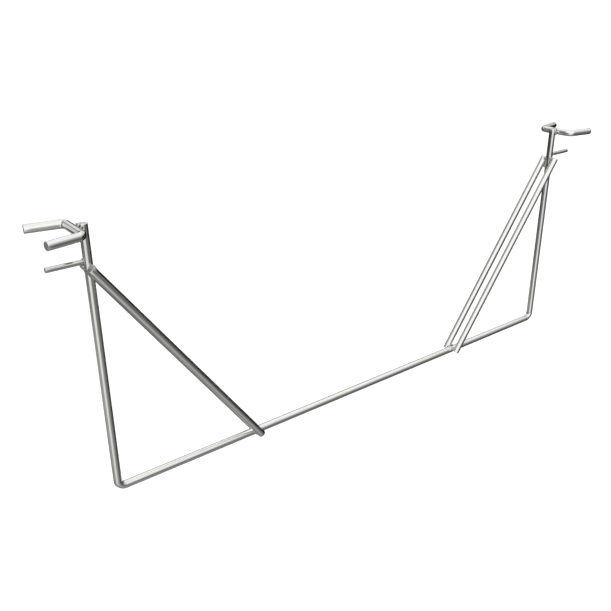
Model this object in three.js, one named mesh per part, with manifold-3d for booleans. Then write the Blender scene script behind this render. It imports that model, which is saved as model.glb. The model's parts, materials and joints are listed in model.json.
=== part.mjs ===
// Hanging cradle for a rescue stretcher, made of bent and straight steel rods welded together.
// Millimetres, +Z up. X runs along the bar, Y runs from front to rear, and the origin is the
// middle of the bar's underside. A U-shaped frame rod carries a pair of sloping braces at each
// end, one on its front and one on its rear, a two-pronged fork at the top of each leg, and a
// thinner peg under each fork. Every joint is a pair of fillet welds or one ring weld.
import * as THREE from 'three';
import { mergeVertices } from 'three/addons/utils/BufferGeometryUtils.js';
import Module from 'manifold-3d';

const wasm = await Module();
wasm.setup();

// Driving dimensions
const ROD = 10; // diameter of the frame, brace and fork rods
const PEG = 6; // diameter of the locating pegs
const GAP = 0.3; // clearance between pieces that touch
const SPAN = 800; // between the axes of the two legs
const CORNER_RADIUS = 10; // bend of the frame rod, at its centre line
const FORK_HEIGHT = 339; // axis of the fork rods above the bar's underside
const FORK_WIDTH = 52; // between the prongs' roots
const FORK_RADIUS = 8; // bend of a fork rod, at its centre line
const PRONG_LENGTH = 42; // from the bend's corner to the prong's end
const PRONG_SPLAY = THREE.MathUtils.degToRad(11); // outward turn of each prong
const BRACE_FOOT_INSET = 206; // from the leg's axis in to the foot of the brace
const BRACE_FOOT_HEIGHT = 3; // axis at the foot, above the bar's underside
const BRACE_HEAD_OUTSET = 2; // from the leg's axis out to the head of the brace
const BRACE_HEAD_HEIGHT = 296; // axis at the head, above the bar's underside
const PEG_HEIGHT = 302; // axis of the pegs above the bar's underside
const PEG_REACH = 46.5; // from the leg's axis out to the peg's end

// Welds
const WELD_RADIUS = 2.2; // half the width of a fillet bead before the rods cut it
const WELD_OFFSET = 4.1; // from the crossing's middle out to the bead's centre line
const WELD_FILL = 0.85; // share of the crossing's length that a bead covers
const RING_RADIUS = 4.8; // outer radius of the ring weld at a peg's root
const RING_LENGTH = 2.6; // how far a ring weld runs out along the peg
const RING_SINK = 2; // how far it starts behind the leg's surface

// Facets
const ROD_SIDES = 32;
const BEND_STEPS = 8;
const WELD_SIDES = 14;
const WELD_RINGS = 10;

const LEG_X = SPAN / 2;
const BAR_HEIGHT = ROD / 2;
const LEG_TOP = FORK_HEIGHT + ROD / 2;
const SIDE_STEP = ROD + GAP; // between the axes of two rods that lie against each other

const X = new THREE.Vector3(1, 0, 0);
const Y = new THREE.Vector3(0, 1, 0);
const Z = new THREE.Vector3(0, 0, 1);
const at = (x, y, z) => new THREE.Vector3(x, y, z);

// One finish for the rods, one for the pegs and one for the welds.
const finishes = {
  rod: { color: 0xb9b8b2, roughness: 0.22, metalness: 1 },
  peg: { color: 0xb4b3ad, roughness: 0.26, metalness: 1 },
  weld: { color: 0xa3a29c, roughness: 0.42, metalness: 1 },
};

const cradle = new THREE.Group();
cradle.name = 'stretcher_cradle';

function addPiece(name, geometry, finish) {
  const piece = new THREE.Mesh(geometry, new THREE.MeshStandardMaterial(finishes[finish]));
  piece.name = name;
  cradle.add(piece);
}

// The centre line of a rod as a row of stations: the two ends, and BEND_STEPS steps round each
// corner. ExtrudeGeometry takes its sections exactly at the stations, so a straight stretch of
// any length costs one step.
class RodPath extends THREE.Curve {
  constructor(stations) {
    super();
    this.stations = stations;
  }

  getPoint(t, target = new THREE.Vector3()) {
    const last = this.stations.length - 1;
    const index = Math.min(Math.floor(t * last), last - 1);
    return target.lerpVectors(this.stations[index], this.stations[index + 1], t * last - index);
  }

  getUtoTmapping(u) {
    return u;
  }
}

// Rounds the corner between two straight stretches with an arc of the given radius.
function bend(before, corner, after, radius) {
  const inward = corner.clone().sub(before).normalize();
  const outward = after.clone().sub(corner).normalize();
  const turn = inward.angleTo(outward);
  const start = corner.clone().addScaledVector(inward, -radius * Math.tan(turn / 2));
  const side = outward.clone().addScaledVector(inward, -outward.dot(inward)).normalize();
  const centre = start.clone().addScaledVector(side, radius);
  const arc = [];
  for (let step = 0; step <= BEND_STEPS; step += 1) {
    const angle = (turn * step) / BEND_STEPS;
    const point = centre.clone();
    point.addScaledVector(side, -radius * Math.cos(angle));
    point.addScaledVector(inward, radius * Math.sin(angle));
    arc.push(point);
  }
  return arc;
}

// A round rod through the given corners, with square-cut ends.
function rodGeometry(corners, diameter, bendRadius = 0) {
  const stations = [corners[0]];
  for (let index = 1; index < corners.length - 1; index += 1) {
    stations.push(...bend(corners[index - 1], corners[index], corners[index + 1], bendRadius));
  }
  stations.push(corners[corners.length - 1]);
  const outline = [];
  for (let side = 0; side < ROD_SIDES; side += 1) {
    const angle = (2 * Math.PI * side) / ROD_SIDES;
    const across = (diameter / 2) * Math.cos(angle);
    outline.push(new THREE.Vector2(across, (diameter / 2) * Math.sin(angle)));
  }
  return new THREE.ExtrudeGeometry(new THREE.Shape(outline), {
    steps: stations.length - 1,
    bevelEnabled: false,
    extrudePath: new RodPath(stations),
  });
}

function toSolid(geometry) {
  const bare = geometry.clone();
  bare.deleteAttribute('normal');
  bare.deleteAttribute('uv');
  const merged = mergeVertices(bare);
  return new wasm.Manifold(new wasm.Mesh({
    numProp: 3,
    vertProperties: merged.attributes.position.array,
    triVerts: new Uint32Array(merged.index.array),
  }));
}

function toGeometry(solid) {
  const mesh = solid.getMesh();
  const geometry = new THREE.BufferGeometry();
  geometry.setAttribute('position', new THREE.BufferAttribute(mesh.vertProperties, 3));
  geometry.setIndex(new THREE.BufferAttribute(mesh.triVerts, 1));
  geometry.computeVertexNormals();
  return geometry;
}

// A straight rod grown by the clearance all round, which cuts the welds that lie on it.
function cutter(start, end, diameter) {
  const along = end.clone().sub(start).normalize();
  const from = start.clone().addScaledVector(along, -GAP);
  const to = end.clone().addScaledVector(along, GAP);
  return toSolid(rodGeometry([from, to], diameter + 2 * GAP));
}

function cutAway(geometry, cutters) {
  let solid = toSolid(geometry);
  for (const tool of cutters) {
    solid = solid.subtract(tool);
  }
  return toGeometry(solid);
}

// A fillet bead: an egg-shaped body along the groove, cut back by the rods it joins.
function filletBead(name, centre, along, halfLength, cutters) {
  const geometry = new THREE.SphereGeometry(1, WELD_SIDES, WELD_RINGS);
  geometry.scale(WELD_RADIUS, halfLength, WELD_RADIUS);
  geometry.applyQuaternion(new THREE.Quaternion().setFromUnitVectors(Y, along));
  geometry.translate(centre.x, centre.y, centre.z);
  addPiece(name, cutAway(geometry, cutters), 'weld');
}

// Two beads along the flanks of a brace where it crosses the frame rod. Each covers the
// stretch of its flank that lies over the frame rod and ends before the brace does.
function braceWelds(name, brace, crossing, frameAxis, faceShift, cutters) {
  const along = brace.end.clone().sub(brace.start).normalize();
  const flank = along.clone().cross(Y);
  const slope = along.dot(frameAxis);
  const lean = flank.dot(frameAxis);
  const halfCrossing = ROD / 2 / Math.abs(lean);
  const toStart = brace.start.clone().sub(crossing).dot(along);
  const toEnd = brace.end.clone().sub(crossing).dot(along);
  for (const [label, side] of [['upper', flank.z > 0 ? 1 : -1], ['lower', flank.z > 0 ? -1 : 1]]) {
    const middle = (side * WELD_OFFSET * slope) / lean;
    const low = Math.max(middle - halfCrossing, toStart);
    const high = Math.min(middle + halfCrossing, toEnd);
    const centre = crossing.clone().addScaledVector(flank, side * WELD_OFFSET);
    centre.addScaledVector(along, (low + high) / 2);
    centre.y += faceShift;
    filletBead(`${name}_${label}`, centre, along, (WELD_FILL * (high - low)) / 2, cutters);
  }
}

// The frame rod: up one leg, along the bar and up the other leg, bent at the two corners.
addPiece('frame_rod', rodGeometry([
  at(-LEG_X, 0, LEG_TOP),
  at(-LEG_X, 0, BAR_HEIGHT),
  at(LEG_X, 0, BAR_HEIGHT),
  at(LEG_X, 0, LEG_TOP),
], ROD, CORNER_RADIUS), 'rod');

const barCutter = cutter(at(-LEG_X, 0, BAR_HEIGHT), at(LEG_X, 0, BAR_HEIGHT), ROD);

for (const [end, outward] of [['left', -1], ['right', 1]]) {
  const legCutter = cutter(at(outward * LEG_X, 0, BAR_HEIGHT), at(outward * LEG_X, 0, LEG_TOP), ROD);

  // Braces, from a foot on the bar up to a head on the leg.
  for (const [face, rearward] of [['front', -1], ['rear', 1]]) {
    const y = rearward * SIDE_STEP;
    const foot = at(outward * (LEG_X - BRACE_FOOT_INSET), y, BRACE_FOOT_HEIGHT);
    const head = at(outward * (LEG_X + BRACE_HEAD_OUTSET), y, BRACE_HEAD_HEIGHT);
    addPiece(`brace_${end}_${face}`, rodGeometry([foot, head], ROD), 'rod');

    const brace = { start: foot, end: head };
    const braceCutter = cutter(foot, head, ROD);
    const rise = (head.z - foot.z) / (head.x - foot.x);
    const overBar = at(foot.x + (BAR_HEIGHT - foot.z) / rise, y, BAR_HEIGHT);
    const overLeg = at(outward * LEG_X, y, head.z - (head.x - outward * LEG_X) * rise);
    const toContact = (-rearward * SIDE_STEP) / 2;
    const footName = `weld_foot_${end}_${face}`;
    const headName = `weld_head_${end}_${face}`;
    braceWelds(footName, brace, overBar, X, toContact, [barCutter, braceCutter]);
    braceWelds(headName, brace, overLeg, Z, toContact, [legCutter, braceCutter]);
  }

  // Fork: a short crossbar against the outer side of the leg, bent out into two prongs.
  const crossbarX = outward * (LEG_X + SIDE_STEP);
  const prong = (rearward) => at(
    crossbarX + outward * PRONG_LENGTH * Math.cos(PRONG_SPLAY),
    rearward * (FORK_WIDTH / 2 + PRONG_LENGTH * Math.sin(PRONG_SPLAY)),
    FORK_HEIGHT,
  );
  const frontCorner = at(crossbarX, -FORK_WIDTH / 2, FORK_HEIGHT);
  const rearCorner = at(crossbarX, FORK_WIDTH / 2, FORK_HEIGHT);
  const forkLine = [prong(-1), frontCorner, rearCorner, prong(1)];
  addPiece(`fork_${end}`, rodGeometry(forkLine, ROD, FORK_RADIUS), 'rod');

  // Fillets above and below the crossbar, along its line of contact with the leg.
  const forkCutter = cutter(frontCorner, rearCorner, ROD);
  for (const [label, upward] of [['upper', 1], ['lower', -1]]) {
    const centre = at(outward * (LEG_X + SIDE_STEP / 2), 0, FORK_HEIGHT + upward * WELD_OFFSET);
    const name = `weld_fork_${end}_${label}`;
    filletBead(name, centre, Y, WELD_FILL * ROD / 2, [legCutter, forkCutter]);
  }

  // Peg, butted square against the outer side of the leg.
  const pegRoot = at(outward * (LEG_X + ROD / 2 + GAP), 0, PEG_HEIGHT);
  const pegEnd = at(outward * (LEG_X + PEG_REACH), 0, PEG_HEIGHT);
  addPiece(`peg_${end}`, rodGeometry([pegRoot, pegEnd], PEG), 'peg');

  // Ring weld round the peg's root, cut to the leg's curve.
  const bore = PEG / 2 + GAP;
  const ringProfile = [
    new THREE.Vector2(bore, -RING_SINK),
    new THREE.Vector2(RING_RADIUS, -RING_SINK),
    new THREE.Vector2(RING_RADIUS, RING_LENGTH * 0.2),
    new THREE.Vector2(bore + (RING_RADIUS - bore) * 0.65, RING_LENGTH * 0.7),
    new THREE.Vector2(bore, RING_LENGTH),
    new THREE.Vector2(bore, -RING_SINK),
  ];
  const ring = new THREE.LatheGeometry(ringProfile, ROD_SIDES);
  ring.applyQuaternion(new THREE.Quaternion().setFromUnitVectors(Y, at(outward, 0, 0)));
  ring.translate(pegRoot.x, pegRoot.y, pegRoot.z);
  addPiece(`weld_peg_${end}`, cutAway(ring, [legCutter]), 'weld');
}

export default cradle;
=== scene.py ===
# %% [markdown]
# # A hanging cradle for a rescue stretcher
#
# The object is a welded frame of round steel rod: one long rod bent into a leg, a bar and a leg,
# four straight braces, a two-pronged fork and a thin peg at the top of each leg, and the welds
# that join them. The design model already fixes where everything is. This lesson gives each rod
# its true round section, its bends, its cut ends and its drawn steel surface, and gives each weld
# its ripples.

# %% Load the design model
import json
import math

import bpy
import numpy as np
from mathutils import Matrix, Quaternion, Vector, kdtree


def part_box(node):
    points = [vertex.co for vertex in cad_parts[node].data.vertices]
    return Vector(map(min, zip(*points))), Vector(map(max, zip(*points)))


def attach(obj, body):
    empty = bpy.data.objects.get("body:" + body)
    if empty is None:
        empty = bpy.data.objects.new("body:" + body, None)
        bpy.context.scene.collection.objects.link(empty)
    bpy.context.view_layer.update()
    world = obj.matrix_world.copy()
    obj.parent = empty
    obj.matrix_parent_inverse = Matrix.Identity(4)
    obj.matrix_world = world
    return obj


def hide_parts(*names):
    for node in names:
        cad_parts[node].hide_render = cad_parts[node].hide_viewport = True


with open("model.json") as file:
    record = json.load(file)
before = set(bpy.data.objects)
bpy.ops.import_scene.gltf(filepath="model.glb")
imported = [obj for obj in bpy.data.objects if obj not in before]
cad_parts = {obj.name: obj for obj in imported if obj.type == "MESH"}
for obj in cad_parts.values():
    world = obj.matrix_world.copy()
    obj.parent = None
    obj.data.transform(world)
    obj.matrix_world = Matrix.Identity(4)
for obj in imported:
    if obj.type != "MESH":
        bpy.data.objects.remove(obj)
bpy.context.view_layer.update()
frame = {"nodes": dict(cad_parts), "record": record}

MM = 0.001

# %% [markdown]
# Every size below is read from the design model, so the looks can't drift away from it. A box
# tells where a rod lying along an axis begins and ends. A sloping rod needs more: its design
# solid has a ring of points at each end and nothing between, so the middle of each ring is an
# end of its centre line.

# %% Read the rods' places from the design model
def design_points(node):
    """The points of a design solid, each place once."""
    mesh = frame["nodes"][node].data
    return sorted({tuple(round(value, 7) for value in vertex.co) for vertex in mesh.vertices})


def end_centres(node):
    """The two ends of a straight rod's centre line, the lower one first."""
    points = [Vector(point) for point in design_points(node)]
    middle = sum((point.z for point in points)) / len(points)
    lower = [point for point in points if point.z < middle]
    upper = [point for point in points if point.z >= middle]
    return [sum(group, Vector()) / len(group) for group in (lower, upper)]


print(len(frame["nodes"]), "solids in the design model")

# %% Read the main sizes
frame_low, frame_high = (Vector(corner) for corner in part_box("frame_rod"))
ROD = frame_high.y
LEG_X = frame_high.x - ROD
LEG_TOP = frame_high.z
BAR_Z = frame_low.z + ROD
fork_low, fork_high = (Vector(corner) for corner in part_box("fork_right"))
FORK_X = fork_low.x + ROD
FORK_Z = (fork_low.z + fork_high.z) / 2
CONTACT_X = (LEG_X + FORK_X) / 2
peg_low, peg_high = (Vector(corner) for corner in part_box("peg_right"))
PEG = (peg_high.z - peg_low.z) / 2
PEG_Z = (peg_high.z + peg_low.z) / 2
mounts = {mount["name"]: mount for mount in frame["record"]["mounts"]}
prong_end = Vector(mounts["right_rear_prong_end"]["pos_m"])
prong_out = Vector(mounts["right_rear_prong_end"]["axis"])
FORK_Y = prong_end.y - prong_out.y * (prong_end.x - FORK_X) / prong_out.x
print(f"rod radius {ROD / MM:.1f} mm, legs at x = {LEG_X / MM:.1f} mm")
print(f"fork root at y = {FORK_Y / MM:.1f} mm, peg radius {PEG / MM:.1f} mm")

CORNER_BEND = 10 * MM
FORK_BEND = 8 * MM
print(f"bend radii, mm: frame corner {CORNER_BEND / MM:.0f}, fork {FORK_BEND / MM:.0f}")

# %% [markdown]
# ## Bent rod
#
# A bent rod could be a curve with a round bevel, but a curve gives no control over its ends, and
# its rings fall where the curve likes. A real rod is made by feeding straight stock into a bender,
# and a mesh can be made the same way: a ring of points is extruded along a straight stretch, spun
# round the bender's pin at each corner, and extruded again.
#
# The route is worked out first, as straight stretches and arcs. It also gives each point of the
# finished mesh its place on the stock before bending, which the steel's drawn lines need later.

# %% Plan a rod's route
def plan_route(corners, bend_radius):
    """Straight stretches and bends through the corners, in order."""
    route = []
    start = corners[0]
    for before, corner, after in zip(corners, corners[1:], corners[2:]):
        inward = (corner - before).normalized()
        outward = (after - corner).normalized()
        turn = inward.angle(outward)
        setback = bend_radius * math.tan(turn / 2)
        entry = corner - inward * setback
        side = (outward - inward * outward.dot(inward)).normalized()
        route.append({"kind": "straight", "start": start, "end": entry})
        route.append({
            "kind": "bend", "start": entry, "end": corner + outward * setback,
            "pin": entry + side * bend_radius, "axis": inward.cross(outward).normalized(),
            "turn": turn,
        })
        start = route[-1]["end"]
    route.append({"kind": "straight", "start": start, "end": corners[-1]})
    return route


frame_corners = [
    Vector((-LEG_X, 0, LEG_TOP)), Vector((-LEG_X, 0, BAR_Z)),
    Vector((LEG_X, 0, BAR_Z)), Vector((LEG_X, 0, LEG_TOP)),
]
frame_route = plan_route(frame_corners, CORNER_BEND)
print("the frame rod's route:", ", ".join(stretch["kind"] for stretch in frame_route))

# %% Sample a route closely
SAMPLE_STEP = 0.5 * MM


def sample_route(route):
    """Close-set places along the route: place, direction, distance from the start, and bend."""
    places, directions, distances, bends = [], [], [], []
    travelled = 0.0
    for stretch in route:
        run = stretch["end"] - stretch["start"]
        radius = (stretch["start"] - stretch["pin"]).length if stretch["kind"] == "bend" else None
        length = run.length if radius is None else radius * stretch["turn"]
        count = max(2, math.ceil(length / SAMPLE_STEP))
        for step in range(count):
            share = step / count
            if radius is None:
                place, direction = stretch["start"] + run * share, run.normalized()
            else:
                turned = Quaternion(stretch["axis"], stretch["turn"] * share)
                arm = turned @ (stretch["start"] - stretch["pin"])
                place, direction = stretch["pin"] + arm, stretch["axis"].cross(arm).normalized()
            places.append(place)
            directions.append(direction)
            distances.append(travelled + length * share)
            bends.append(0.0 if radius is None else math.sin(math.pi * share) ** 0.5)
        travelled += length
    places.append(route[-1]["end"])
    directions.append((route[-1]["end"] - route[-1]["start"]).normalized())
    distances.append(travelled)
    bends.append(0.0)
    return places, directions, distances, bends


print(f"the frame rod takes {sample_route(frame_route)[2][-1] / MM:.1f} mm of stock")

# %% [markdown]
# The operators act on whatever is selected, so each helper says what it selects. A ring that has
# just been extruded stays selected, and is ready for the next extrude or spin. The spin operator
# turns clockwise about its axis, so it takes the negative of the bend's angle.

# %% Select and edit
def deselect():
    """Leaves nothing selected."""
    bpy.ops.object.select_all(action="DESELECT")


def pick(piece):
    """Selects one piece alone and makes it the active one."""
    deselect()
    piece.select_set(True)
    bpy.context.view_layer.objects.active = piece


def edit(piece):
    """Opens one piece in edit mode, ready to select its points."""
    pick(piece)
    bpy.ops.object.mode_set(mode="EDIT")
    bpy.ops.mesh.select_mode(type="VERT")


def leave_edit():
    """Goes back to object mode, which brings the mesh up to date."""
    bpy.ops.object.mode_set(mode="OBJECT")


def select_only(piece, kind, keep):
    """Selects the points, edges or faces of a piece, in edit mode, that pass a test."""
    bpy.ops.mesh.select_mode(type=kind)
    bpy.ops.mesh.select_all(action="DESELECT")
    leave_edit()
    mesh = piece.data
    chosen = {"VERT": mesh.vertices, "EDGE": mesh.edges, "FACE": mesh.polygons}[kind]
    for item in chosen:
        item.select = bool(keep(item))
    bpy.ops.object.mode_set(mode="EDIT")


def apply_place(piece):
    """Moves the place and turn of an object into its mesh, so the object sits at the origin."""
    pick(piece)
    bpy.ops.object.transform_apply(location=True, rotation=True, scale=True)


deselect()
print(len(bpy.context.selected_objects), "pieces are selected at the start")

# %% Extrude and spin the rod
RING_POINTS = 64
BEND_RINGS = 20
print(f"{RING_POINTS} points round a rod, {BEND_RINGS} rings in a bend")


def sweep_ring(name, route, radius, points):
    """A ring at the route's start, carried along the route: an open tube."""
    first = (route[0]["end"] - route[0]["start"]).normalized()
    deselect()
    bpy.ops.mesh.primitive_circle_add(
        vertices=points, radius=radius, fill_type="NOTHING",
        location=route[0]["start"], rotation=first.to_track_quat("Z", "Y").to_euler(),
    )
    piece = bpy.context.object
    piece.name = piece.data.name = name
    apply_place(piece)
    edit(piece)
    bpy.ops.mesh.select_all(action="SELECT")
    for stretch in route:
        if stretch["kind"] == "straight":
            move = {"value": stretch["end"] - stretch["start"]}
            bpy.ops.mesh.extrude_region_move(TRANSFORM_OT_translate=move)
        else:
            bpy.ops.mesh.spin(
                steps=BEND_RINGS, angle=-stretch["turn"], center=stretch["pin"],
                axis=stretch["axis"], use_auto_merge=False,
            )
    leave_edit()
    return piece


# %% [markdown]
# The long stretches are one face long, which is enough for their shape. The steel's dull zones
# beside the welds, with their painted shade, are stored on the mesh's points, though, so the long
# edges are divided until the rings stand a few millimetres apart. One stroke of the operator makes
# at most a hundred cuts, so on the longest stretches a second stroke halves what the first one
# left.
#
# The ends are cut square, and a file has been run round them. Each open ring is closed with one
# face, its rim is bevelled, and the face is inset twice and poked, so that it ends in a fan of
# thin triangles round the middle instead of one face with sixty-four corners.

# %% Divide the long faces
RING_PITCH = 6 * MM
MOST_CUTS = 100
PARALLEL = 0.999
print(f"a ring about every {RING_PITCH / MM:.0f} mm of straight rod")


def divide_stretches(piece, route):
    """Adds rings along each straight stretch."""
    mesh = piece.data
    for stretch in route:
        if stretch["kind"] != "straight":
            continue
        run = stretch["end"] - stretch["start"]
        length, direction = run.length, run.normalized()

        def lies_along(edge):
            ends = [mesh.vertices[index].co for index in edge.vertices]
            gap = ends[1] - ends[0]
            middle = (ends[0] + ends[1]) / 2 - stretch["start"]
            inside = 0 < middle.dot(direction) < length
            aside = (middle - direction * middle.dot(direction)).length
            straight = abs(gap.normalized().dot(direction)) > PARALLEL
            return inside and aside < 2 * ROD and straight and gap.length > RING_PITCH

        strokes = [min(MOST_CUTS, math.ceil(length / RING_PITCH) - 1)]
        if length >= RING_PITCH * MOST_CUTS:
            strokes.append(1)
        for cuts in strokes:
            edit(piece)
            select_only(piece, "EDGE", lies_along)
            bpy.ops.mesh.subdivide(number_cuts=cuts, quadcorner="STRAIGHT_CUT")
            leave_edit()


# %% Close the ends
RIM = 0.45 * MM
RIM_STEPS = 3
CUT_GAP = 0.02 * MM
CUT_REACH = 1.02
INSET = 0.25
QUAD_CORNERS = 4
print(f"a rim of {RIM / MM} mm round each cut end")


def close_end(piece, centre, outward, radius):
    """Closes one open end with a square-cut face and a rounded rim."""
    def on_cut(point):
        offset = point - centre
        return abs(offset.dot(outward)) < CUT_GAP and offset.length < radius * CUT_REACH

    edit(piece)
    select_only(piece, "VERT", lambda vertex: on_cut(vertex.co))
    bpy.ops.mesh.edge_face_add()
    bpy.ops.mesh.select_mode(type="EDGE")
    bpy.ops.mesh.bevel(offset=RIM, segments=RIM_STEPS, profile=0.5, affect="EDGES")
    select_only(
        piece, "FACE", lambda face: len(face.vertices) > QUAD_CORNERS and on_cut(face.center),
    )
    bpy.ops.mesh.inset(thickness=radius * INSET)
    bpy.ops.mesh.inset(thickness=radius * INSET)
    bpy.ops.mesh.poke()
    leave_edit()


# %% [markdown]
# Bending flattens a solid rod a little at the corner, and leaves its outer side slightly
# stretched. A few per cent of flattening, eased in and out over the bend, is what the eye knows
# as bent rod rather than a joint in a pipe. The points are moved in towards the centre line, so
# the rod never leaves the box of its design solid.

# %% Flatten the bends a little
FLATTENING = 0.05
print(f"bends flattened by up to {FLATTENING:.0%}")


def flatten_bends(piece, route):
    """Moves the points of each bend towards the centre line, most at its middle."""
    for stretch in route:
        if stretch["kind"] != "bend":
            continue
        pin, axis, turn = stretch["pin"], stretch["axis"], stretch["turn"]
        arm = stretch["start"] - pin
        radius = arm.length
        across = arm.normalized()
        onward = axis.cross(across)
        for vertex in piece.data.vertices:
            offset = vertex.co - pin
            flat = offset - axis * offset.dot(axis)
            angle = math.atan2(flat.dot(onward), flat.dot(across))
            if not 0 < angle < turn or flat.length > 2 * radius:
                continue
            ease = math.sin(math.pi * angle / turn) ** 2
            out = flat.length - radius
            vertex.co += flat.normalized() * (-out * FLATTENING * ease)


# %% [markdown]
# ## Where each point lay on the straight stock
#
# Drawn rod carries fine lines along its length. In a bent rod they follow the bend, so no flat
# projection fits. Instead each point stores its place on the straight stock: two numbers round
# the section and one along it. The pattern is painted in that space, and has no seam.
#
# A second value stores how near the point is to a weld. There heat and cleaning dull the steel,
# and its colour is darkened as painted shade at the joints.
# A third marks the sawn end faces, a fourth the end faces of the braces, whose colour is darkened
# as painted shade, and a fifth the bends, where stretched steel loses its shine and its
# grain shows as a fine pebbled skin.

# %% Store the stock's place, the weld zone, the cut, the painted end shade and the bend on each point
WELD_ZONE_REACH = 12 * MM
WELD_ZONE_CORE = 5 * MM
END_GAP = 0.1 * MM
CUT_INSIDE_RIM = 0.9
print(f"heat fades from {WELD_ZONE_CORE / MM:.0f} to {WELD_ZONE_REACH / MM:.0f} mm from a weld")


def store_values(piece, name, kind, values):
    """Stores one value or one vector for each point of the mesh."""
    attribute = piece.data.attributes.new(name, kind, "POINT")
    field = "vector" if kind == "FLOAT_VECTOR" else "value"
    attribute.data.foreach_set(field, np.asarray(values, dtype=np.float32).ravel())


def mark_stock(piece, route, radius, flat_normal, weld_places, painted_end_shade_amount):
    """Stores the stock's place, the weld zone of heat and painted shade, the cut, the braces'
    painted end shade and the bend of each point.
    """
    places, directions, distances, bends = sample_route(route)
    tree = kdtree.KDTree(len(places))
    for index, place in enumerate(places):
        tree.insert(place, index)
    tree.balance()
    stock, heat, cut, bend = [], [], [], []
    for vertex in piece.data.vertices:
        place, index, _ = tree.find(vertex.co)
        along = directions[index]
        offset = vertex.co - place
        side = flat_normal.cross(along)
        stock.append((
            offset.dot(flat_normal), offset.dot(side), distances[index] + offset.dot(along),
        ))
        # The weld zone drives the heat's dulling and the painted shade at the joints.
        nearest = min(((vertex.co - spot).length for spot in weld_places), default=WELD_ZONE_REACH)
        heat.append(min(1.0, max(0.0, (WELD_ZONE_REACH - nearest) / (WELD_ZONE_REACH - WELD_ZONE_CORE))))
        aside = (offset - along * offset.dot(along)).length
        at_end = min(distances[index], distances[-1] - distances[index]) < END_GAP
        cut.append(1.0 if at_end and aside < radius - CUT_INSIDE_RIM * RIM else 0.0)
        bend.append(bends[index])
    store_values(piece, "stock", "FLOAT_VECTOR", stock)
    store_values(piece, "heat", "FLOAT", heat)
    store_values(piece, "cut", "FLOAT", cut)
    # The braces' end faces are marked for painted shade.
    store_values(piece, "painted_end_shade", "FLOAT", [value * painted_end_shade_amount for value in cut])
    store_values(piece, "bend", "FLOAT", bend)
    print(f"{piece.name}: {len(stock)} points, {distances[-1] / MM:.1f} mm of stock")


# %% [markdown]
# ## Weld places
#
# A weld sits in the groove where two rods touch. Its design solid shows where: the middle of its
# box, and how far it reaches along the groove. The places come before the rods, because the rods
# need them for their dull zones and the painted shade beside the welds.

# %% Read the weld places
def reach_along(node, direction):
    """The lowest and highest point of a design solid along a direction."""
    reached = [Vector(point).dot(direction) for point in design_points(node)]
    return min(reached), max(reached)


def box_middle(node):
    """The middle of a design solid's box."""
    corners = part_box(node)
    return (Vector(corners[0]) + Vector(corners[1])) / 2


SIDES = {"left": -1, "right": 1}
FACES = ("front", "rear")
braces = {
    f"brace_{side}_{face}": end_centres(f"brace_{side}_{face}") for side in SIDES for face in FACES
}
beads = {}
for side, outward in SIDES.items():
    for face in FACES:
        foot, head = braces[f"brace_{side}_{face}"]
        for joint in ("foot", "head"):
            for flank in ("upper", "lower"):
                name = f"weld_{joint}_{side}_{face}_{flank}"
                middle = box_middle(name)
                middle.y = foot.y / 2
                rods = ["frame_rod", f"brace_{side}_{face}"]
                beads[name] = {"middle": middle, "along": (head - foot).normalized(), "rods": rods}
    for flank in ("upper", "lower"):
        name = f"weld_fork_{side}_{flank}"
        middle = box_middle(name)
        middle.x = outward * CONTACT_X
        rods = ["frame_rod", f"fork_{side}"]
        beads[name] = {"middle": middle, "along": Vector((0, 1, 0)), "rods": rods}
for name, bead in beads.items():
    nearest, farthest = reach_along(name, bead["along"])
    bead["half_length"] = (farthest - nearest) / 2
rings = {f"weld_peg_{side}": box_middle(f"weld_peg_{side}") for side in SIDES}
weld_places = [bead["middle"] for bead in beads.values()] + list(rings.values())
print(len(beads), "fillet beads and", len(rings), "ring welds")

# %% [markdown]
# ## Steel
#
# Bright rod is drawn through a die, which leaves fine lines along it, and handling adds scuffs.
# One colour with one roughness would look like chrome in a drawing, and a painted picture of the
# lines would show a seam along each rod. So the finish is built from noise.
#
# One node group makes the drawn lines: noise that is stretched a hundred times along the stock.
# A second makes the scuffs, a third a slow cloudiness like the trace of a cloth. Each puts out a
# value only, so the Principled shader itself stays in the material, and each material sets its
# own amounts.

# %% Node helpers
FLOAT, VECTOR = "NodeSocketFloat", "NodeSocketVector"
print("the groups' sockets are of the kinds", FLOAT, "and", VECTOR)


def new_group(name, inputs, outputs):
    """A shader node group with named sockets: (name, kind, default) in and (name, kind) out."""
    tree = bpy.data.node_groups.new(name, "ShaderNodeTree")
    for title, kind, default in inputs:
        socket = tree.interface.new_socket(name=title, in_out="INPUT", socket_type=kind)
        if default is not None:
            socket.default_value = default
    for title, kind in outputs:
        tree.interface.new_socket(name=title, in_out="OUTPUT", socket_type=kind)
    return tree, tree.nodes.new("NodeGroupInput"), tree.nodes.new("NodeGroupOutput")


def add_node(tree, kind, settings=None, **inputs):
    """A node with its settings and inputs.

    An input is a number, a colour or another node's socket. It is named by the socket's title,
    with _ for a space, or by its place, as in i0.
    """
    node = tree.nodes.new(kind)
    for key, value in (settings or {}).items():
        setattr(node, key, value)
    for key, value in inputs.items():
        by_place = key[1:].isdigit()
        socket = node.inputs[int(key[1:]) if by_place else key.replace("_", " ")]
        if isinstance(value, bpy.types.NodeSocket):
            tree.links.new(value, socket)
        else:
            socket.default_value = value
    return node


def math_node(tree, operation, first, second=0.0):
    """The output of one sum on two values."""
    node = add_node(tree, "ShaderNodeMath", {"operation": operation}, i0=first, i1=second)
    return node.outputs[0]


def remap(tree, value, low, high, to_low, to_high, smooth=False):
    """A value taken from one span to another, and held at its ends."""
    kind = "SMOOTHSTEP" if smooth else "LINEAR"
    node = add_node(
        tree, "ShaderNodeMapRange", {"interpolation_type": kind, "clamp": True},
        Value=value, From_Min=low, From_Max=high, To_Min=to_low, To_Max=to_high,
    )
    return node.outputs["Result"]


# %% Drawn lines
LINE_STRETCH = 0.01
GROUPS = {}


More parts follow.
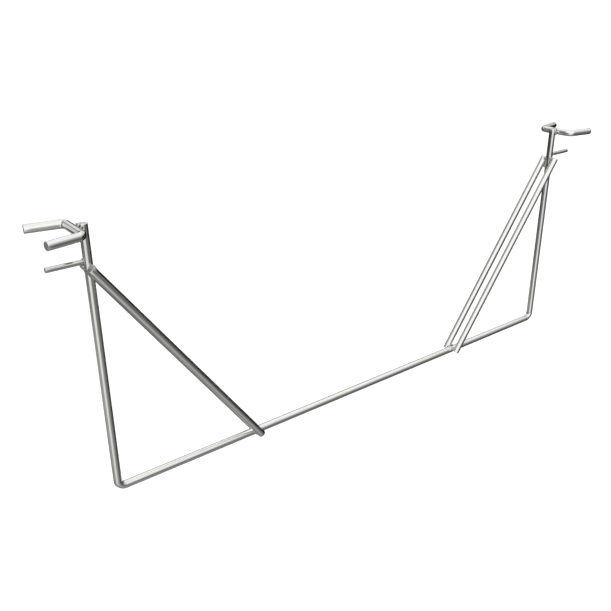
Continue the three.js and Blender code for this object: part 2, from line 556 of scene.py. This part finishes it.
def drawn_lines_group():
    """Noise drawn out along the stock."""
    tree, given, made = new_group(
        "drawn_lines", [("Stock", VECTOR, None), ("Fineness", FLOAT, 9000.0)], [("Lines", FLOAT)],
    )
    stretched = add_node(
        tree, "ShaderNodeVectorMath", {"operation": "MULTIPLY"}, i0=given.outputs["Stock"],
        i1=(1.0, 1.0, LINE_STRETCH),
    )
    noise = add_node(
        tree, "ShaderNodeTexNoise", None, Vector=stretched.outputs[0],
        Scale=given.outputs["Fineness"], Detail=3.0, Roughness=0.6,
    )
    tree.links.new(noise.outputs["Fac"], made.inputs["Lines"])
    return tree


GROUPS["lines"] = drawn_lines_group()
print("drawn lines:", len(GROUPS["lines"].nodes), "nodes")

# %% Scuffs
SCUFF_RUNS = ((0.5, 0.06), (-0.9, 0.09))
SCUFF_TILT = 0.6
SCUFF_WIDTH = 0.016
PATCH_SCALE = 45.0
PATCH_EDGES = (0.46, 0.62)


def scuffs_group():
    """Thin crossing scratches, gathered in patches."""
    tree, given, made = new_group(
        "scuffs", [("Stock", VECTOR, None), ("Scale", FLOAT, 300.0), ("Amount", FLOAT, 0.3)],
        [("Scuffs", FLOAT)],
    )
    total = None
    for turn, stretch in SCUFF_RUNS:
        turned = add_node(
            tree, "ShaderNodeMapping", None, Vector=given.outputs["Stock"],
            Rotation=(turn, turn * SCUFF_TILT, 0.0), Scale=(1.0, 1.0, stretch),
        )
        noise = add_node(
            tree, "ShaderNodeTexNoise", None, Vector=turned.outputs[0],
            Scale=given.outputs["Scale"], Detail=1.0,
        )
        away = math_node(tree, "ABSOLUTE", math_node(tree, "SUBTRACT", noise.outputs["Fac"], 0.5))
        thin = remap(tree, away, 0.0, SCUFF_WIDTH, 1.0, 0.0)
        total = thin if total is None else math_node(tree, "MAXIMUM", total, thin)
    patches = add_node(
        tree, "ShaderNodeTexNoise", None, Vector=given.outputs["Stock"], Scale=PATCH_SCALE,
        Detail=2.0,
    )
    where = remap(tree, patches.outputs["Fac"], *PATCH_EDGES, 0.0, 1.0, smooth=True)
    gathered = math_node(tree, "MULTIPLY", total, where)
    shown = math_node(tree, "MULTIPLY", gathered, given.outputs["Amount"])
    tree.links.new(shown, made.inputs["Scuffs"])
    return tree


GROUPS["scuffs"] = scuffs_group()
print("scuffs:", len(GROUPS["scuffs"].nodes), "nodes")

# %% Cloudiness
CLOUD_EDGES = (0.3, 0.7)


def clouding_group():
    """Soft cloudy noise."""
    tree, given, made = new_group(
        "clouding", [("Stock", VECTOR, None), ("Scale", FLOAT, 60.0)], [("Clouds", FLOAT)],
    )
    noise = add_node(
        tree, "ShaderNodeTexNoise", None, Vector=given.outputs["Stock"],
        Scale=given.outputs["Scale"], Detail=4.0, Roughness=0.55,
    )
    clouds = remap(tree, noise.outputs["Fac"], *CLOUD_EDGES, 0.0, 1.0)
    tree.links.new(clouds, made.inputs["Clouds"])
    return tree


GROUPS["clouds"] = clouding_group()
print("cloudiness:", len(GROUPS["clouds"].nodes), "nodes")


def place_group(tree, key, **inputs):
    """One of the groups placed in a material, with its own values."""
    return add_node(tree, "ShaderNodeGroup", {"node_tree": GROUPS[key]}, **inputs).outputs[0]


# %% [markdown]
# The rod steel mixes them: the lines and scuffs drive a very low bump and small changes of
# roughness, and the cloudiness shifts the roughness slowly. The weld's heat dulls the steel beside
# it, and its colour there is darkened as painted shade at the joints. A bend is pebbled, and a
# sawn end is rougher, with the straight marks of the blade across it. The braces' end faces are
# darkened as painted shade.

# %% Rod steel
ROD_COLOUR = (0.77, 0.765, 0.745)
# Near a weld the steel is darkened towards this colour: partly heat tint, partly painted shade at
# the joints.
BURNT_AND_SHADED = (0.62, 0.6, 0.565)
# The braces' end faces are darkened by this factor: painted shade.
PAINTED_END_SHADE_FACTOR = 0.55
CLOUD_SHADE = (0.97, 1.02)
ROD_ROUGHNESS = 0.09
LINE_EDGES = (0.3, 0.7)
LINE_ROUGHNESS = 0.03
HEAT_AND_SHADE_CURVE = 1.5
ROUGHER = {"clouds": 0.05, "scuffs": 0.22, "heat": 0.14, "bend": 0.04, "cut": 0.24}
HIGHER = {"lines": 0.5, "scuffs": -1.0, "saw": 0.9, "pebbles": 0.5}
BUMP_STRENGTH = 0.4
STEEL_BUMP = 0.045 * MM


def stored(tree, name, output):
    """A value that the mesh's points carry."""
    return add_node(tree, "ShaderNodeAttribute", {"attribute_name": name}).outputs[output]


def add_all(tree, start, values, amounts):
    """The start value plus each value times its amount."""
    total = start
    for key, value in values.items():
        total = math_node(tree, "ADD", total, math_node(tree, "MULTIPLY", value, amounts[key]))
    return total


def rod_steel(name, colour, roughness):
    """Drawn steel of a colour and roughness, with its lines, scuffs, heat and painted shade near
    the welds, bends, cuts and painted shade on the braces' end faces.
    """
    material = bpy.data.materials.new(name)
    material.use_nodes = True
    tree = material.node_tree
    shader = tree.nodes["Principled BSDF"]
    shader.inputs["Metallic"].default_value = 1.0
    stock = stored(tree, "stock", "Vector")
    heat, cut, painted_end_shade, bend = (
        stored(tree, key, "Fac") for key in ("heat", "cut", "painted_end_shade", "bend")
    )
    lines = place_group(tree, "lines", Stock=stock, Fineness=4200.0)
    scuffs = place_group(tree, "scuffs", Stock=stock, Scale=260.0, Amount=0.8)
    clouds = place_group(tree, "clouds", Stock=stock, Scale=50.0)
    pebbles = place_group(tree, "clouds", Stock=stock, Scale=2200.0)
    place = add_node(tree, "ShaderNodeTexCoord").outputs["Object"]
    saw = add_node(
        tree, "ShaderNodeTexWave", {"wave_type": "BANDS", "bands_direction": "DIAGONAL"},
        Vector=place, Scale=1100.0, Distortion=4.0, Detail=3.0,
    ).outputs["Fac"]

    rough = remap(
        tree, lines, *LINE_EDGES, roughness - LINE_ROUGHNESS, roughness + LINE_ROUGHNESS,
    )
    values = {"clouds": clouds, "scuffs": scuffs, "heat": heat, "bend": bend, "cut": cut}
    tree.links.new(add_all(tree, rough, values, ROUGHER), shader.inputs["Roughness"])

    # Painted shade: the colour darkens near the welds, partly as heat tint and partly as shade at
    # the joints.
    burnt_and_shaded = [channel * share for channel, share in zip(colour, BURNT_AND_SHADED)]
    tint = add_node(
        tree, "ShaderNodeMix", {"data_type": "RGBA"},
        Factor=math_node(tree, "POWER", heat, HEAT_AND_SHADE_CURVE), i6=(*colour, 1.0), i7=(*burnt_and_shaded, 1.0),
    ).outputs[2]
    clouded = remap(tree, clouds, 0.0, 1.0, *CLOUD_SHADE)
    # Painted shade: the braces' end faces are darkened.
    painted_end_shade_amount = remap(tree, painted_end_shade, 0.0, 1.0, 1.0, PAINTED_END_SHADE_FACTOR)
    shade = math_node(tree, "MULTIPLY", clouded, painted_end_shade_amount)
    toned = add_node(tree, "ShaderNodeVectorMath", {"operation": "SCALE"}, i0=tint, Scale=shade)
    tree.links.new(toned.outputs[0], shader.inputs["Base Color"])

    values = {
        "scuffs": scuffs, "saw": math_node(tree, "MULTIPLY", saw, cut),
        "pebbles": math_node(tree, "MULTIPLY", pebbles, bend),
    }
    drawn = math_node(tree, "MULTIPLY", lines, HIGHER["lines"])
    height = add_all(tree, drawn, values, HIGHER)
    bump = add_node(
        tree, "ShaderNodeBump", None, Height=height, Strength=BUMP_STRENGTH, Distance=STEEL_BUMP,
    )
    tree.links.new(bump.outputs[0], shader.inputs["Normal"])
    return material


# The pegs' steel is the rod steel darkened: painted shade, not a different metal.
PEG_PAINTED_SHADE = 0.82
PEG_SHADED_COLOUR = tuple(PEG_PAINTED_SHADE * channel for channel in ROD_COLOUR)
PEG_ROUGHNESS = 0.07
steel = rod_steel("rod_steel", ROD_COLOUR, ROD_ROUGHNESS)
peg_steel = rod_steel("peg_steel", PEG_SHADED_COLOUR, PEG_ROUGHNESS)
print("rod steel:", len(steel.node_tree.nodes), "nodes")

# %% [markdown]
# ## The rods
#
# One function now makes every rod: plan the route, sweep the ring, divide, close both ends,
# flatten the bends, store the values, smooth the shading and give it its steel. Angles under 35
# degrees shade smooth, so the barrel is round and the rim of each cut stays crisp. Nine rods by
# hand would be nine chances of a slip, and a change to the steel would have to be made nine times.

# %% Finish a rod
SMOOTH_UNDER = math.radians(35)
SAME_PLACE = 0.001 * MM
PEG_POINTS = 48
print(f"{PEG_POINTS} points round a peg")


def finish_piece(piece, node, material):
    """Smooths a piece, gives it its material and puts it in its design solid's place."""
    pick(piece)
    bpy.ops.object.shade_smooth_by_angle(angle=SMOOTH_UNDER)
    piece.data.materials.clear()
    piece.data.materials.append(material)
    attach(piece, "root")
    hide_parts(node)


def face_outward(piece):
    """Merges points in the same place and turns all faces outwards."""
    edit(piece)
    bpy.ops.mesh.select_all(action="SELECT")
    bpy.ops.mesh.remove_doubles(threshold=SAME_PLACE)
    bpy.ops.mesh.normals_make_consistent(inside=False)
    leave_edit()


def make_rod(
    node, corners, radius, flat_normal, bend_radius=0.0, points=RING_POINTS, painted_end_shade_amount=0.0,
):
    """A finished rod through its corners, in the place of its design solid."""
    route = plan_route(corners, bend_radius)
    piece = sweep_ring(f"{node}_steel", route, radius, points)
    divide_stretches(piece, route)
    close_end(piece, corners[0], (corners[0] - corners[1]).normalized(), radius)
    close_end(piece, corners[-1], (corners[-1] - corners[-2]).normalized(), radius)
    face_outward(piece)
    flatten_bends(piece, route)
    mark_stock(piece, route, radius, flat_normal, weld_places, painted_end_shade_amount)
    # The pegs take the darkened steel, which is painted shade.
    if node.startswith("peg"):
        finish_piece(piece, node, peg_steel)
    else:
        finish_piece(piece, node, steel)
    return piece


# %% [markdown]
# The frame rod starts at the top of the left leg, goes down, along and up again. The braces are
# straight. The forks run from the front prong's end through the crossbar to the rear prong's end.
# The pegs are thinner stock.

# %% Make the nine rods
ALONG_Y, ALONG_Z = Vector((0, 1, 0)), Vector((0, 0, 1))
rods = {}
rods["frame_rod"] = make_rod("frame_rod", frame_corners, ROD, ALONG_Y, CORNER_BEND)
# The braces get painted shade on their end faces.
for name, ends in braces.items():
    rods[name] = make_rod(name, ends, ROD, ALONG_Y, painted_end_shade_amount=1.0)
for side, outward in SIDES.items():
    corners = [
        Vector((outward * prong_end.x, -prong_end.y, FORK_Z)),
        Vector((outward * FORK_X, -FORK_Y, FORK_Z)),
        Vector((outward * FORK_X, FORK_Y, FORK_Z)),
        Vector((outward * prong_end.x, prong_end.y, FORK_Z)),
    ]
    rods[f"fork_{side}"] = make_rod(f"fork_{side}", corners, ROD, ALONG_Z, FORK_BEND)
    root = Vector((outward * peg_low.x, 0, PEG_Z))
    tip = Vector((outward * peg_high.x, 0, PEG_Z))
    peg = f"peg_{side}"
    rods[peg] = make_rod(peg, [root, tip], PEG, ALONG_Z, points=PEG_POINTS)

# %% [markdown]
# ## Weld beads
#
# A weld is laid in small steps, and each step freezes as a crescent that overlaps the last. The
# bead could be a bump texture on a smooth tube, but its outline would stay smooth. Here a disc is
# extruded along the groove and resized at every step, so that each ripple rises slowly and drops
# fast, like a row of tilted coins. Then the points farther out are pulled back along the groove,
# which bows the ripples, and the two rods are cut out of the bead, so it meets them exactly.

# %% Make a rippled spindle
RIPPLE = 1.15 * MM
RIPPLE_STEPS = 5
RIPPLE_DEPTH = 0.09
RISING = 0.8
BEAD_RADIUS = 2.1 * MM
BEAD_POINTS = 32
FEWEST_RIPPLES = 3
BLUNTNESS = 2.6
LEAST_BODY = 0.12
BOW = 0.28
BOW_LEVEL = 0.5
print(f"ripples {RIPPLE / MM} mm apart and {RIPPLE_DEPTH * BEAD_RADIUS / MM:.2f} mm deep")


def ripple_height(share):
    """Rises over the first four fifths of a ripple and falls over the last fifth."""
    return share / RISING if share < RISING else (1 - share) / (1 - RISING)


def make_spindle(name, middle, along, half_length):
    """A closed spindle with ripples, laid along a groove."""
    ripples = max(FEWEST_RIPPLES, round(2 * half_length / RIPPLE))
    steps = ripples * RIPPLE_STEPS
    sizes = []
    for step in range(1, steps):
        place = 2 * step / steps - 1
        body = max(LEAST_BODY, math.sqrt(1 - abs(place) ** BLUNTNESS))
        wave = ripple_height(step / RIPPLE_STEPS % 1)
        sizes.append((place, BEAD_RADIUS * body * (1 - RIPPLE_DEPTH * (1 - wave))))
    deselect()
    bpy.ops.mesh.primitive_circle_add(
        vertices=BEAD_POINTS, radius=sizes[0][1], fill_type="NGON",
        location=(0, 0, sizes[0][0] * half_length),
    )
    piece = bpy.context.object
    piece.name = piece.data.name = name
    apply_place(piece)
    edit(piece)
    bpy.ops.mesh.select_all(action="SELECT")
    for (before, old), (after, new) in zip(sizes, sizes[1:]):
        rise = (after - before) * half_length
        bpy.ops.mesh.extrude_region_move(TRANSFORM_OT_translate={"value": (0, 0, rise)})
        centre = (0, 0, after * half_length)
        bpy.ops.transform.resize(value=(new / old, new / old, 1.0), center_override=centre)
    leave_edit()
    for vertex in piece.data.vertices:
        aside = math.hypot(vertex.co.x, vertex.co.y) / BEAD_RADIUS
        vertex.co.z -= BOW * BEAD_RADIUS * (aside ** 2 - BOW_LEVEL)
    piece.rotation_euler = along.to_track_quat("Z", "Y").to_euler()
    piece.location = middle
    apply_place(piece)
    face_outward(piece)
    return piece


# %% [markdown]
# The two finished rods are the cutters, and stay as they are. An exact boolean needs closed
# shapes with their faces pointing outwards, which they all are by now. Afterwards the rods' round
# shape is left pressed into the back of the bead, and its front shows only what stands out of the
# groove.

# %% Cut the rods out of a bead
print("rods to cut with:", ", ".join(rods))


def cut_by(piece, cutters):
    """Cuts other pieces out of this one."""
    for cutter in cutters:
        modifier = piece.modifiers.new("cut", "BOOLEAN")
        modifier.operation = "DIFFERENCE"
        modifier.solver = "EXACT"
        modifier.object = cutter
        pick(piece)
        bpy.ops.object.modifier_apply(modifier=modifier.name)


def largest_part(piece):
    """Keeps the largest connected part of a mesh and deletes the crumbs that a cut leaves."""
    mesh = piece.data
    links = {vertex.index: set() for vertex in mesh.vertices}
    for edge in mesh.edges:
        first, second = edge.vertices
        links[first].add(second)
        links[second].add(first)
    left, best = set(links), set()
    while left:
        part, queue = set(), [min(left)]
        while queue:
            point = queue.pop()
            if point not in part:
                part.add(point)
                queue.extend(links[point] - part)
        left -= part
        if len(part) > len(best):
            best = part
    if len(best) < len(links):
        edit(piece)
        select_only(piece, "VERT", lambda vertex: vertex.index not in best)
        bpy.ops.mesh.delete(type="VERT")
        leave_edit()
    return len(links) - len(best)


# %% [markdown]
# Weld metal is a little darker than the rods and sets with a finer, rougher skin. It could share
# the rods' steel, but drawn lines would run over metal that was never drawn. So it has a material
# of its own, with a grain in place of the lines.

# %% Weld metal
WELD_DARK = (0.42, 0.41, 0.385, 1.0)
WELD_LIGHT = (0.56, 0.55, 0.53, 1.0)
WELD_ROUGHNESS = (0.2, 0.32)
WELD_BUMP = 0.03 * MM


def weld_metal():
    """Steel that has melted and set, with a fine grain."""
    material = bpy.data.materials.new("weld_metal")
    material.use_nodes = True
    tree = material.node_tree
    shader = tree.nodes["Principled BSDF"]
    shader.inputs["Metallic"].default_value = 1.0
    place = add_node(tree, "ShaderNodeTexCoord").outputs["Object"]
    clouds = place_group(tree, "clouds", Stock=place, Scale=400.0)
    grain = add_node(
        tree, "ShaderNodeTexNoise", None, Vector=place, Scale=2500.0, Detail=4.0, Roughness=0.7,
    ).outputs["Fac"]
    rough = remap(tree, clouds, 0.0, 1.0, *WELD_ROUGHNESS)
    tree.links.new(rough, shader.inputs["Roughness"])
    colour = add_node(
        tree, "ShaderNodeMix", {"data_type": "RGBA"}, Factor=clouds,
        i6=WELD_DARK, i7=WELD_LIGHT,
    ).outputs[2]
    tree.links.new(colour, shader.inputs["Base Color"])
    bump = add_node(
        tree, "ShaderNodeBump", None, Height=grain, Strength=BUMP_STRENGTH, Distance=WELD_BUMP,
    )
    tree.links.new(bump.outputs[0], shader.inputs["Normal"])
    return material


weld_steel = weld_metal()
print("weld metal:", len(weld_steel.node_tree.nodes), "nodes")


def finish_weld(piece, node):
    """Cleans a cut weld and gives it its metal."""
    crumbs = largest_part(piece)
    finish_piece(piece, node, weld_steel)
    print(f"{piece.name}: {len(piece.data.polygons)} faces, {crumbs} crumbs removed")


# %% Lay the fillet beads
OVERRUN = 1.05
for node, bead in beads.items():
    half_length = OVERRUN * bead["half_length"]
    piece = make_spindle(f"{node}_bead", bead["middle"], bead["along"], half_length)
    cut_by(piece, [rods[name] for name in bead["rods"]])
    finish_weld(piece, node)

# %% [markdown]
# The ring weld round a peg starts as a torus. Its ripples run round it, so the points are pushed
# out and in by their angle. The leg and the peg are then cut out of it.

# %% Lay the ring welds
RING_SEGMENTS = 120
RING_TUBE_POINTS = 20
RING_TUBE = 0.9 * MM
RING_RIPPLES = 15
RING_OUT = 0.2 * MM
RING_ROUND = PEG + 0.15 * MM
RING_LEAN = 0.3
RING_DEPTH = 1.4 * RIPPLE_DEPTH


def make_ring(name, outward):
    """A rippled torus round the root of a peg."""
    centre = Vector((outward * (LEG_X + ROD + RING_OUT), 0, PEG_Z))
    deselect()
    bpy.ops.mesh.primitive_torus_add(
        major_segments=RING_SEGMENTS, minor_segments=RING_TUBE_POINTS,
        major_radius=RING_ROUND, minor_radius=RING_TUBE,
        location=centre, rotation=(0, math.pi / 2, 0),
    )
    piece = bpy.context.object
    piece.name = piece.data.name = name
    apply_place(piece)
    for vertex in piece.data.vertices:
        arm = Vector((0, vertex.co.y, vertex.co.z - PEG_Z))
        core = centre + arm.normalized() * RING_ROUND
        angle = math.atan2(arm.y, arm.z) / (2 * math.pi) * RING_RIPPLES
        lean = (vertex.co - core).length / RING_TUBE * RING_LEAN
        wave = ripple_height((angle + lean * outward) % 1)
        vertex.co = core + (vertex.co - core) * (1 - RING_DEPTH * (1 - wave))
    return piece


for side, outward in SIDES.items():
    piece = make_ring(f"weld_peg_{side}_bead", outward)
    cut_by(piece, [rods["frame_rod"], rods[f"peg_{side}"]])
    finish_weld(piece, f"weld_peg_{side}")

# %% [markdown]
# ## Studio
#
# Polished rod shows its surroundings more than itself: each rod is a thin mirror that squeezes
# the whole room across its width. So the room matters more than any lamp. In a studio, white
# and black cards stand round shiny things. They could be real planes with lamps on them, but
# they would get in the way of other views. Here the room and its cards are made with nodes on
# the direction of view, so a card is one line in a list.

# %% Directions and heights in the room
def compass(azimuth, elevation=0.0):
    """The direction at an azimuth from +Y towards +X and an elevation, in degrees."""
    turn, rise = math.radians(azimuth), math.radians(elevation)
    level = math.cos(rise)
    return Vector((math.sin(turn) * level, math.cos(turn) * level, math.sin(rise)))


def vector_math(tree, operation, first, second):
    """A node for one sum on two vectors."""
    return add_node(tree, "ShaderNodeVectorMath", {"operation": operation}, i0=first, i1=second)


def height_ramp(tree, height, stops):
    """Brightness by elevation in degrees, in straight runs between the stops."""
    share = remap(tree, height, -1.0, 1.0, 0.0, 1.0)
    ramp = add_node(tree, "ShaderNodeValToRGB", None, Fac=share)
    elements = ramp.color_ramp.elements
    while len(elements) < len(stops):
        elements.new(0.5)
    for element, (elevation, value) in zip(elements, stops):
        element.position = (math.sin(math.radians(elevation)) + 1) / 2
        element.color = (value, value, value, 1.0)
    ramp.color_ramp.interpolation = "LINEAR"
    return ramp.outputs["Color"]


def card_mask(tree, level, rise, azimuth, width, elevation, height, soft):
    """One inside a card of a width and height in degrees, fading to nought over its soft edge."""
    facing = vector_math(tree, "DOT_PRODUCT", level, compass(azimuth)).outputs["Value"]
    inner, outer = (math.radians((width + edge) / 2) for edge in (-soft, soft))
    across = remap(tree, facing, math.cos(outer), math.cos(inner), 0.0, 1.0, smooth=True)
    away = math_node(tree, "ABSOLUTE", math_node(tree, "SUBTRACT", rise, math.radians(elevation)))
    inner, outer = (math.radians((height + edge / 2) / 2) for edge in (-soft, soft))
    upright = remap(tree, away, inner, outer, 1.0, 0.0, smooth=True)
    return math_node(tree, "MULTIPLY", across, upright)


print("azimuth 0 looks from the front to the rear:", compass(0)[:])

# %% [markdown]
# The walls grow brighter from the horizon to the ceiling. A tall soft window stands on the near
# side and gives each rod its broad highlight. Black cloth and grey cards stand behind: they draw
# the dark line along each edge that makes a bright rod read as round. Small cards, low down and
# behind, put the fine light and dark stripes on the bar and the crossbars. A card covers those
# before it in the list.

# %% The walls, the window and the cards
WALLS = (
    (-90, 0.3), (-60, 0.25), (-40, 0.29), (-28, 0.3), (-14, 0.12), (-5, 0.19), (8, 0.4),
    (20, 0.54), (32, 0.78), (45, 1.08), (60, 1.16), (90, 1.14),
)
WINDOW = (
    (-70, 0.25), (-58, 0.52), (-40, 0.8), (-20, 1.05), (8, 1.2), (30, 1.3), (60, 1.25), (90, 1.14),
)
CARDS = (
    # The near side and the ceiling. A card without a value is part of the window.
    {"azimuth": 186, "width": 56, "elevation": -50, "height": 24, "soft": 30, "value": 0.44},
    {"azimuth": 70, "width": 90, "elevation": 52, "height": 30, "soft": 34, "value": 1.15},
    {"azimuth": 220, "width": 44, "elevation": -50, "height": 70, "soft": 32, "value": None},
    {"azimuth": 210, "width": 46, "elevation": 10, "height": 54, "soft": 34, "value": None},
    {"azimuth": 216, "width": 100, "elevation": 34, "height": 44, "soft": 44, "value": 1.25},
    # Grey card and black cloth behind.
    {"azimuth": 323, "width": 56, "elevation": 28, "height": 38, "soft": 24, "value": 0.36},
    {"azimuth": 282, "width": 70, "elevation": -11, "height": 12, "soft": 18, "value": 0.05},
    {"azimuth": 52, "width": 132, "elevation": -18, "height": 60, "soft": 24, "value": 0.02},
    # Low cards.
    {"azimuth": 279, "width": 54, "elevation": -31, "height": 12, "soft": 22, "value": 0.42},
    {"azimuth": 330, "width": 70, "elevation": -47, "height": 16, "soft": 20, "value": 0.12},
    {"azimuth": 339, "width": 26, "elevation": -10, "height": 9, "soft": 12, "value": 0.03},
    {"azimuth": 338, "width": 44, "elevation": -26, "height": 9, "soft": 12, "value": 0.46},
    {"azimuth": 128, "width": 30, "elevation": -34, "height": 22, "soft": 20, "value": 0.13},
    # Light strips behind.
    {"azimuth": 337, "width": 24, "elevation": 12, "height": 7, "soft": 10, "value": 1.0},
    {"azimuth": 6, "width": 22, "elevation": 24, "height": 10, "soft": 10, "value": 0.95},
    {"azimuth": 25, "width": 16, "elevation": 32, "height": 24, "soft": 12, "value": 1.1},
    {"azimuth": 53, "width": 16, "elevation": 22, "height": 20, "soft": 14, "value": 1.0},
)
print(len(CARDS), "cards stand in the room")

# %% Build the room
WHITE = (1.0, 1.0, 1.0, 1.0)
world = bpy.data.worlds.new("room")
bpy.context.scene.world = world
world.use_nodes = True
room = world.node_tree
looking = add_node(room, "ShaderNodeTexCoord").outputs["Generated"]
height = vector_math(room, "DOT_PRODUCT", looking, (0.0, 0.0, 1.0)).outputs["Value"]
rise = math_node(room, "ARCSINE", height)
flat = vector_math(room, "MULTIPLY", looking, (1.0, 1.0, 0.0)).outputs[0]
level = add_node(room, "ShaderNodeVectorMath", {"operation": "NORMALIZE"}, i0=flat).outputs[0]
lit = height_ramp(room, height, WALLS)
window = height_ramp(room, height, WINDOW)
for card in CARDS:
    place = dict(card)
    value = place.pop("value")
    mask = card_mask(room, level, rise, **place)
    shade = window if value is None else (value, value, value, 1.0)
    lit = add_node(
        room, "ShaderNodeMix", {"data_type": "RGBA"}, Factor=mask, i6=lit, i7=shade,
    ).outputs[2]
seen = add_node(room, "ShaderNodeLightPath").outputs["Is Camera Ray"]
shown = add_node(
    room, "ShaderNodeMix", {"data_type": "RGBA"}, Factor=seen, i6=lit, i7=WHITE,
).outputs[2]
room.links.new(shown, room.nodes["Background"].inputs["Color"])
print("room:", len(room.nodes), "nodes")

# %% [markdown]
# The cradle hangs at chest height, so the pale floor lies well below it, where no shadow of thin
# rods would show. The floor doesn't show in the rods either, whose lower half the room already
# shades. A wide soft lamp lights it evenly.

# %% Lay the floor and light it
FLOOR_Z = -1.2
FLOOR_SIZE = 120.0
FLOOR_COLOUR = (0.93, 0.93, 0.93, 1.0)
LAMP_POWER = 0.9
LAMP_WIDTH = math.radians(60)
deselect()
bpy.ops.mesh.primitive_plane_add(size=FLOOR_SIZE, location=(0, 0, FLOOR_Z))
floor = bpy.context.object
floor.name = "studio_floor"
floor.visible_glossy = False
pale = bpy.data.materials.new("pale_floor")
pale.use_nodes = True
pale_shader = pale.node_tree.nodes["Principled BSDF"]
pale_shader.inputs["Base Color"].default_value = FLOOR_COLOUR
pale_shader.inputs["Roughness"].default_value = 0.9
pale_shader.inputs["Specular IOR Level"].default_value = 0.0
floor.data.materials.append(pale)

lamp_data = bpy.data.lights.new("ceiling_lamp", "SUN")
lamp_data.energy = LAMP_POWER
lamp_data.angle = LAMP_WIDTH
lamp = bpy.data.objects.new("ceiling_lamp", lamp_data)
bpy.context.scene.collection.objects.link(lamp)
lamp.visible_glossy = False
print(f"floor {FLOOR_SIZE:.0f} m wide at z = {FLOOR_Z} m")

# %% [markdown]
# ## Camera
#
# The camera stands near the left end, in front and a little above, so the frame runs away from
# it to the right. It could be placed by its own position, but a position says little about the
# view. It is placed by the point it looks at, the distance, and three angles.

# %% Place the camera
AIM = Vector((-0.10966, 0.0, 0.16893))
DISTANCE = 1.00672
AZIMUTH, ELEVATION, ROLL = 37.101, 24.205, -0.455
LENS = 43.81
SENSOR = 36.0

camera_data = bpy.data.cameras.new("camera")
camera_data.lens = LENS
camera_data.sensor_width = SENSOR
camera = bpy.data.objects.new("camera", camera_data)
bpy.context.scene.collection.objects.link(camera)
view_direction = compass(AZIMUTH, -ELEVATION)
camera.rotation_mode = "QUATERNION"
camera.rotation_quaternion = (
    view_direction.to_track_quat("-Z", "Y") @ Quaternion((0, 0, 1), math.radians(ROLL))
)
camera.location = AIM - view_direction * DISTANCE
bpy.context.scene.camera = camera
bpy.context.scene.view_settings.view_transform = "Standard"
print("camera at, m:", [round(value, 3) for value in camera.location])
